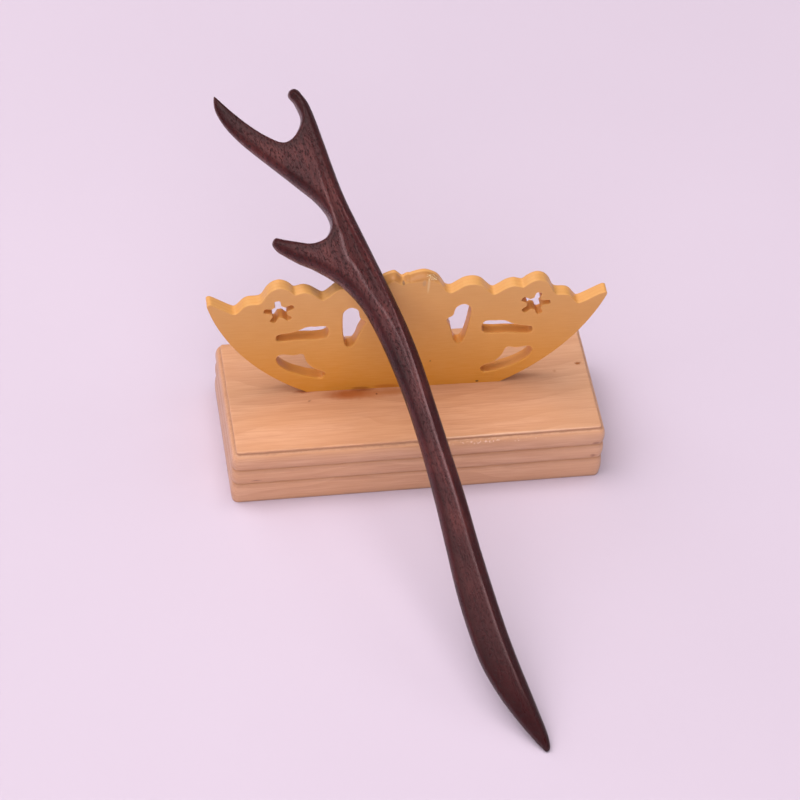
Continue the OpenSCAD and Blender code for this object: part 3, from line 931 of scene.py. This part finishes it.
def mustard_paint():
    """Gouache brushed over sawn birch ply and varnished: flat mustard colour with a satin skin."""
    material, node, where = begin_material(
        "mustard_paint_on_ply", PLATE_PLACE @ Matrix.Rotation(PLATE_TILT, 4, "Z")
    )
    parts = node("ShaderNodeSeparateXYZ", {"Vector": where}).outputs
    clouds = node("ShaderNodeTexNoise", {"Vector": where, "Scale": 0.22, "Detail": 4})
    # Brush marks 0.5 mm wide lie along the plate
    stroke = node("ShaderNodeMapping", {"Vector": where, "Scale": (0.1, 1, 1)})
    brush = node("ShaderNodeTexNoise", {"Vector": stroke, "Scale": 2, "Detail": 3})
    # Three plies of 1.2 mm show through the paint on the sawn edges
    plies = node("ShaderNodeMath", {0: parts["Z"], 1: 2 * math.pi / 1.2}, operation="MULTIPLY")
    plies = node("ShaderNodeMath", {0: plies}, operation="SINE")
    lines = node("ShaderNodeMapRange", {"Value": plies, "From Min": 0.2, "From Max": 1, "To Max": 0.25})
    share = node("ShaderNodeAttribute", attribute_name="share").outputs["Fac"]
    # Hands have worn the fronts of the middle lobes, where the paint is dull and dirty
    wear_and_light = node("ShaderNodeMapRange", {"Value": parts["Y"], "From Min": 38.2, "From Max": 39.4})
    for first, last, most in ((-2.7, -2.2, 0.85), (0, -0.15, 1)):
        slope = node("ShaderNodeMapRange", {
            "Value": parts["Z"], "From Min": first, "From Max": last, "To Max": most,
        })
        wear_and_light = node("ShaderNodeMath", {0: wear_and_light, 1: slope}, operation="MULTIPLY")
    # Flaked paint on the crown of the right middle lobe, and a pale scratch under it
    near = node("ShaderNodeMapRange", {
        "Value": reach_of(node, where, (6.0, 39.8, -1.1), (3.2, 1.4, 1.6)),
        "From Min": 0.5, "From Max": 1.3, "To Min": 0.1, "To Max": -0.4,
    })
    flecks = node("ShaderNodeTexNoise", {"Vector": where, "Scale": 3.4, "Detail": 3})
    chips = node("ShaderNodeMath", {0: flecks, 1: near}, operation="ADD")
    scratch = reach_of(node, where, (4.8, 37.9, 0), (0.36, 3.0, 1))
    colour = layered(node, "#CD8625", [
        # Painted light: the paint turns paler upwards, and the foot is darker and more orange, painted as
        # the shade there and the light bounced from the orange block
        (parts["Y"], 0, 36, 1, "#D29B5C"),
        (clouds, 0.3, 0.7, 0.22, "#D0924E"),
        (brush, 0.35, 0.75, 0.14, "#E9B674"),
        (lines, 0, 1, 1, "#C88238"),
        # The walls of the holes have one thin coat that shows the ply, and their lower rims are painted
        # paler as a painted highlight
        (share, 0, 1, 0.65, "#E59C50"),
        (share, 0, -1, 0.3, "#FFC98A"),
        (wear_and_light, 0, 1, 1, "#A8713C"),
    ] + [
        (reach_of(node, where, (*centre, -0.2), (*radii, 1.2)), 1.2, 0.7, most, shade)
        for centre, radii, shade, most in PLATE_MARKS
    ] + [(chips, 0.61, 0.66, 0.75, "#DED7B4"), (scratch, 1.1, 0.6, 0.5, "#E0C79A")])
    rough = node("ShaderNodeMapRange", {"Value": clouds, "To Min": 0.38, "To Max": 0.56})
    relief = node("ShaderNodeTexNoise", {"Vector": where, "Scale": 1.4, "Detail": 3})
    for source, weight in ((brush, 0.6), (lines, -1.5)):
        relief = node("ShaderNodeMath", {0: source, 1: weight, 2: relief}, operation="MULTIPLY_ADD")
    end_material(node, {
        "Base Color": colour, "Roughness": rough, "IOR": 1.48, "Coat Weight": 0.15, "Coat Roughness": 0.3,
    }, relief, 0.3, 0.08)
    return material


# Where shade is painted, as the share of the block's height and a grey: foot, two grooves, quirk
SHADE_BANDS = [
    (0, "#F0F0F0"), (0.02, "#C0C0C0"), (0.05, "#000000"), (0.31, "#000000"), (0.365, "#A8A8A8"),
    (0.39, "#B8B8B8"), (0.43, "#000000"), (0.59, "#000000"), (0.645, "#A8A8A8"), (0.675, "#B8B8B8"),
    (0.72, "#000000"), (0.935, "#000000"), (0.955, "#F0F0F0"), (0.975, "#E0E0E0"), (0.99, "#000000"),
]
# How far the painted shade and the marks stray from their drawn places, on the mean
RAGGED = Vector((0.8, 0.45, 0.3))
# Marks on the block: place, radii, colour, share
BLOCK_MARKS = [
    ((-16, -1.6, 18.4), (6.5, 1.9, 2), "#A04E1A", 0.9),
    ((-12.8, -0.5, 18.4), (2.8, 0.6, 1), "#7C3410", 0.8),
    ((-28.6, 0.4, 18.4), (2.6, 0.5, 1), "#9E4A1C", 0.7),
    ((-4.5, -1.8, 18.4), (4.5, 1.2, 2), "#B06E42", 0.6),
    ((-11, -2, 18.4), (9, 1.8, 2), "#B56E3C", 0.5),
    ((-9.2, -2.3, 18.4), (0.35, 0.3, 1), "#5E3018", 0.9),
    ((-27.3, -3.2, 18.4), (0.3, 0.3, 1), "#7A4A30", 0.6),
    ((46.7, 3.7, 18.4), (0.75, 0.6, 1), "#92501F", 1),
    ((39.7, 1.4, 18.4), (0.6, 0.5, 1), "#B47A50", 0.6),
    ((47.5, -21.2, 13), (1.2, 0.9, 0.6), "#8E5A40", 0.8),
    ((47.2, -21.2, 8.3), (0.8, 0.9, 0.8), "#8E5A40", 0.8),
    ((-43.8, -21.2, 8.4), (1.3, 1.2, 0.3), "#7A4A34", 0.7),
]


def pale_wood():
    """Ash, planed and routed, under a clear satin varnish: warm and pale with fine darker rings."""
    material, node, where = begin_material("ash_clear_varnish", Matrix.Identity(4))
    slow = node("ShaderNodeMapping", {"Vector": where, "Scale": (0.018, 0.05, 0.05)})
    drift = node("ShaderNodeTexNoise", {"Vector": slow, "Scale": 1, "Detail": 2}).outputs["Color"]
    bent = node("ShaderNodeVectorMath", {0: drift, 1: (0, 14, 14), 2: where}, operation="MULTIPLY_ADD")
    # Growth rings 3 mm apart round a heart that lies under the block's back edge
    heart = node("ShaderNodeMapping", {"Vector": bent, "Location": (0, -34, 30), "Scale": (0.02, 1, 1)})
    rings = node("ShaderNodeTexWave", {
        "Vector": heart, "Scale": 0.1, "Distortion": 1.2, "Detail": 2, "Detail Scale": 0.4,
    }, wave_type="RINGS", rings_direction="X", wave_profile="SAW")
    along = node("ShaderNodeMapping", {"Vector": where, "Scale": (0.045, 1, 1)})
    fibres = node("ShaderNodeTexNoise", {"Vector": along, "Scale": 2.2, "Detail": 4, "Roughness": 0.6})
    # Broad bands of warmer wood cross the top at a slant
    slanted = node("ShaderNodeMapping", {
        "Vector": where, "Rotation": (0, 0, math.radians(-28)), "Scale": (0.25, 1, 1),
    })
    clouds = node("ShaderNodeTexNoise", {"Vector": slanted, "Scale": 0.16, "Detail": 3})
    late = node("ShaderNodeMapRange", {"Value": rings, "From Min": 0.45, "From Max": 1, "To Max": 0.35})
    right = node("ShaderNodeSeparateXYZ", {"Vector": where})
    # The painted shade and the marks have ragged edges
    stray = node("ShaderNodeTexNoise", {"Vector": where, "Scale": 0.7, "Detail": 3}).outputs["Color"]
    ragged = node("ShaderNodeVectorMath", {0: stray, 1: 2 * RAGGED, 2: where}, operation="MULTIPLY_ADD")
    height = node("ShaderNodeSeparateXYZ", {"Vector": ragged}).outputs["Z"]
    height = node("ShaderNodeMath", {0: height, 1: RAGGED[2]}, operation="SUBTRACT")
    height = node("ShaderNodeMath", {0: height, 1: BLOCK_HEIGHT}, operation="DIVIDE")
    banded_shade = node("ShaderNodeValToRGB", {"Fac": height}, SHADE_BANDS)
    # Varnish lies thick and bubbled along the front shoulder, and its glints are painted as pale specks
    front = reach_of(node, where, (16, -21, 16.9), (12, 0.6, 0.5))
    bubbles = node("ShaderNodeTexNoise", {"Vector": where, "Scale": 1.6, "Detail": 2})
    bead_glints = node("ShaderNodeMath", {0: front, 1: -0.16, 2: bubbles}, operation="MULTIPLY_ADD")
    rubbed_and_highlight = reach_of(node, where, (22, -19.9, 18.3), (24, 0.4, 0.3))
    colour = layered(node, "#D2A07E", [
        (late, 0, 1, 1, "#B27A55"),
        (fibres, 0.4, 0.64, 0.5, "#B9805C"),
        (clouds, 0.38, 0.62, 0.5, "#C8926A"),
        # The right end is a little greyer: a painted reflection in the varnish
        (right, 15, 50, 0.22, "#C8A288"),
        # Painted shade in the grooves, the quirk and along the foot
        (banded_shade, 0, 1, 0.6, "#8E5E44"),
    ] + [
        (reach_of(node, ragged, RAGGED + Vector(centre), radii), 1.3, 0.4, most, shade)
        for centre, radii, shade, most in BLOCK_MARKS
        # A pale highlight is painted along the front arris of the raised top
    ] + [(bead_glints, 0.46, 0.54, 0.5, "#F6DCD0"), (rubbed_and_highlight, 1.2, 0.5, 0.4, "#F2CDB0")])
    rough = node("ShaderNodeMapRange", {"Value": fibres, "To Min": 0.36, "To Max": 0.54})
    relief = node("ShaderNodeMath", {0: late, 1: -0.6, 2: fibres}, operation="MULTIPLY_ADD")
    end_material(node, {
        "Base Color": colour, "Roughness": rough, "IOR": 1.5, "Coat Weight": 0.35, "Coat Roughness": 0.25,
    }, relief, 0.3, 0.1)
    return material


# Half of the floor's side in metres
FLOOR_HALF = 3.0


def pale_floor():
    """Matt lilac paper under the whole scene."""
    material, node, where = begin_material("lilac_paper", Matrix.Identity(4))
    clouds = node("ShaderNodeTexNoise", {"Vector": where, "Scale": 0.01, "Detail": 2})
    colour = node("ShaderNodeMix", {0: clouds, 6: "#C8BBCB", 7: "#CCBFCF"}, data_type="RGBA")
    shader = node("ShaderNodeBsdfPrincipled", {"Base Color": colour, "Roughness": 0.9})
    node("ShaderNodeOutputMaterial", {"Surface": shader})
    mesh = bpy.data.meshes.new("floor")
    corners = [(x * FLOOR_HALF, y * FLOOR_HALF, 0) for x, y in ((-1, -1), (1, -1), (1, 1), (-1, 1))]
    mesh.from_pydata(corners, [], [(0, 1, 2, 3)])
    mesh.materials.append(material)
    placed("floor", mesh)


# The camera's focal length, its turn, rise and roll in degrees, and its place along its own axes
LENS = 144
CAMERA_TURNS = (-11.878, 46.646, 4.565)
CAMERA_AWAY = Vector((-1.532, 8.597, 869.5))
# Lights: name, turn from +X and rise over the floor in degrees, distance, width and depth in metres,
# power in watts, colour, and whether the light shows only in gloss or only in diffuse light
LIGHTS = [
    ("top", 30, 78, 1.3, (0.42, 0.42), 2.0, "#FFFAF8", False),
    ("ceiling", 0, 90, 1.3, (0.7, 0.7), 3.4, "#FFFAF8", False),
    ("left", 180, 58, 1.5, (1.4, 1.4), 11.0, "#FFF9FA", False),
    ("left_high", 168, 64, 1.3, (0.45, 0.45), 1.6, "#FFF8FA", False),
    ("back_left", 130, 35, 1.5, (1.0, 1.0), 5.0, "#FFF8FA", False),
    ("right", 0, 45, 1.5, (0.8, 0.8), 2.9, "#FFF8FA", False),
    ("front", -95, 16, 1.6, (1.6, 0.5), 11.0, "#FFF8FA", False),
    ("front_high", -100, 45, 1.5, (0.8, 0.8), 3.0, "#FFF8FA", False),
    ("glint", -26, 63, 1.3, (0.3, 0.3), 1.2, "#FFFAFC", True),
]


def studio():
    """Camera, lights and the dim room round them."""
    scene = bpy.context.scene
    scene.view_settings.view_transform = "Standard"
    lens = bpy.data.cameras.new("camera")
    lens.lens = LENS
    lens.sensor_width = 36
    lens.clip_start = 0.05
    turn, rise, roll = CAMERA_TURNS
    turned = (
        Matrix.Rotation(math.radians(turn), 3, "Z")
        @ Matrix.Rotation(math.radians(90 - rise), 3, "X")
        @ Matrix.Rotation(math.radians(roll), 3, "Z")
    )
    scene.camera = placed("camera", lens)
    scene.camera.matrix_world = Matrix.Translation(turned @ CAMERA_AWAY * MM) @ turned.to_4x4()
    for name, turn, rise, away, size, power, colour, gloss in LIGHTS:
        lamp = bpy.data.lights.new(name, "AREA")
        lamp.shape = "RECTANGLE"
        lamp.size, lamp.size_y = size
        lamp.energy = power
        lamp.color = linear(colour)[:3]
        turn, rise = math.radians(turn), math.radians(rise)
        flat = math.cos(rise)
        side = Vector((math.cos(turn) * flat, math.sin(turn) * flat, math.sin(rise)))
        made = placed(name, lamp)
        made.location = side * away
        made.rotation_euler = side.to_track_quat("Z", "Y").to_euler()
        made.visible_glossy = gloss
        made.visible_diffuse = not gloss
    room = bpy.data.worlds.new("room")
    room.use_nodes = True
    tree = room.node_tree
    tree.nodes.clear()
    # The room's ceiling is bright, and its walls are dark
    view = add(tree, "ShaderNodeTexCoord")
    near = add(tree, "ShaderNodeVectorMath", {
        0: view, 1: Vector((-0.3, 0, 1)).normalized(),
    }, operation="DOT_PRODUCT").outputs["Value"]
    bright = add(tree, "ShaderNodeMapRange", {
        "Value": near, "From Min": 0.81, "From Max": 0.96, "To Min": 0.07, "To Max": 1.35,
    })
    glow = add(tree, "ShaderNodeBackground", {"Color": "#FFFAFC", "Strength": bright})
    add(tree, "ShaderNodeOutputWorld", {"Surface": glow})
    scene.world = room


studio()
pale_floor()
piece_of("forked_stick", *stick_surface(), STICK_PLACE, "dark_wood", "hair_stick", dark_wood(), 2e-5)
piece_of("pierced_plate", *plate_surface(), PLATE_PLACE, "mustard_paint", "stand_plate", mustard_paint())
moulded_block(pale_wood())
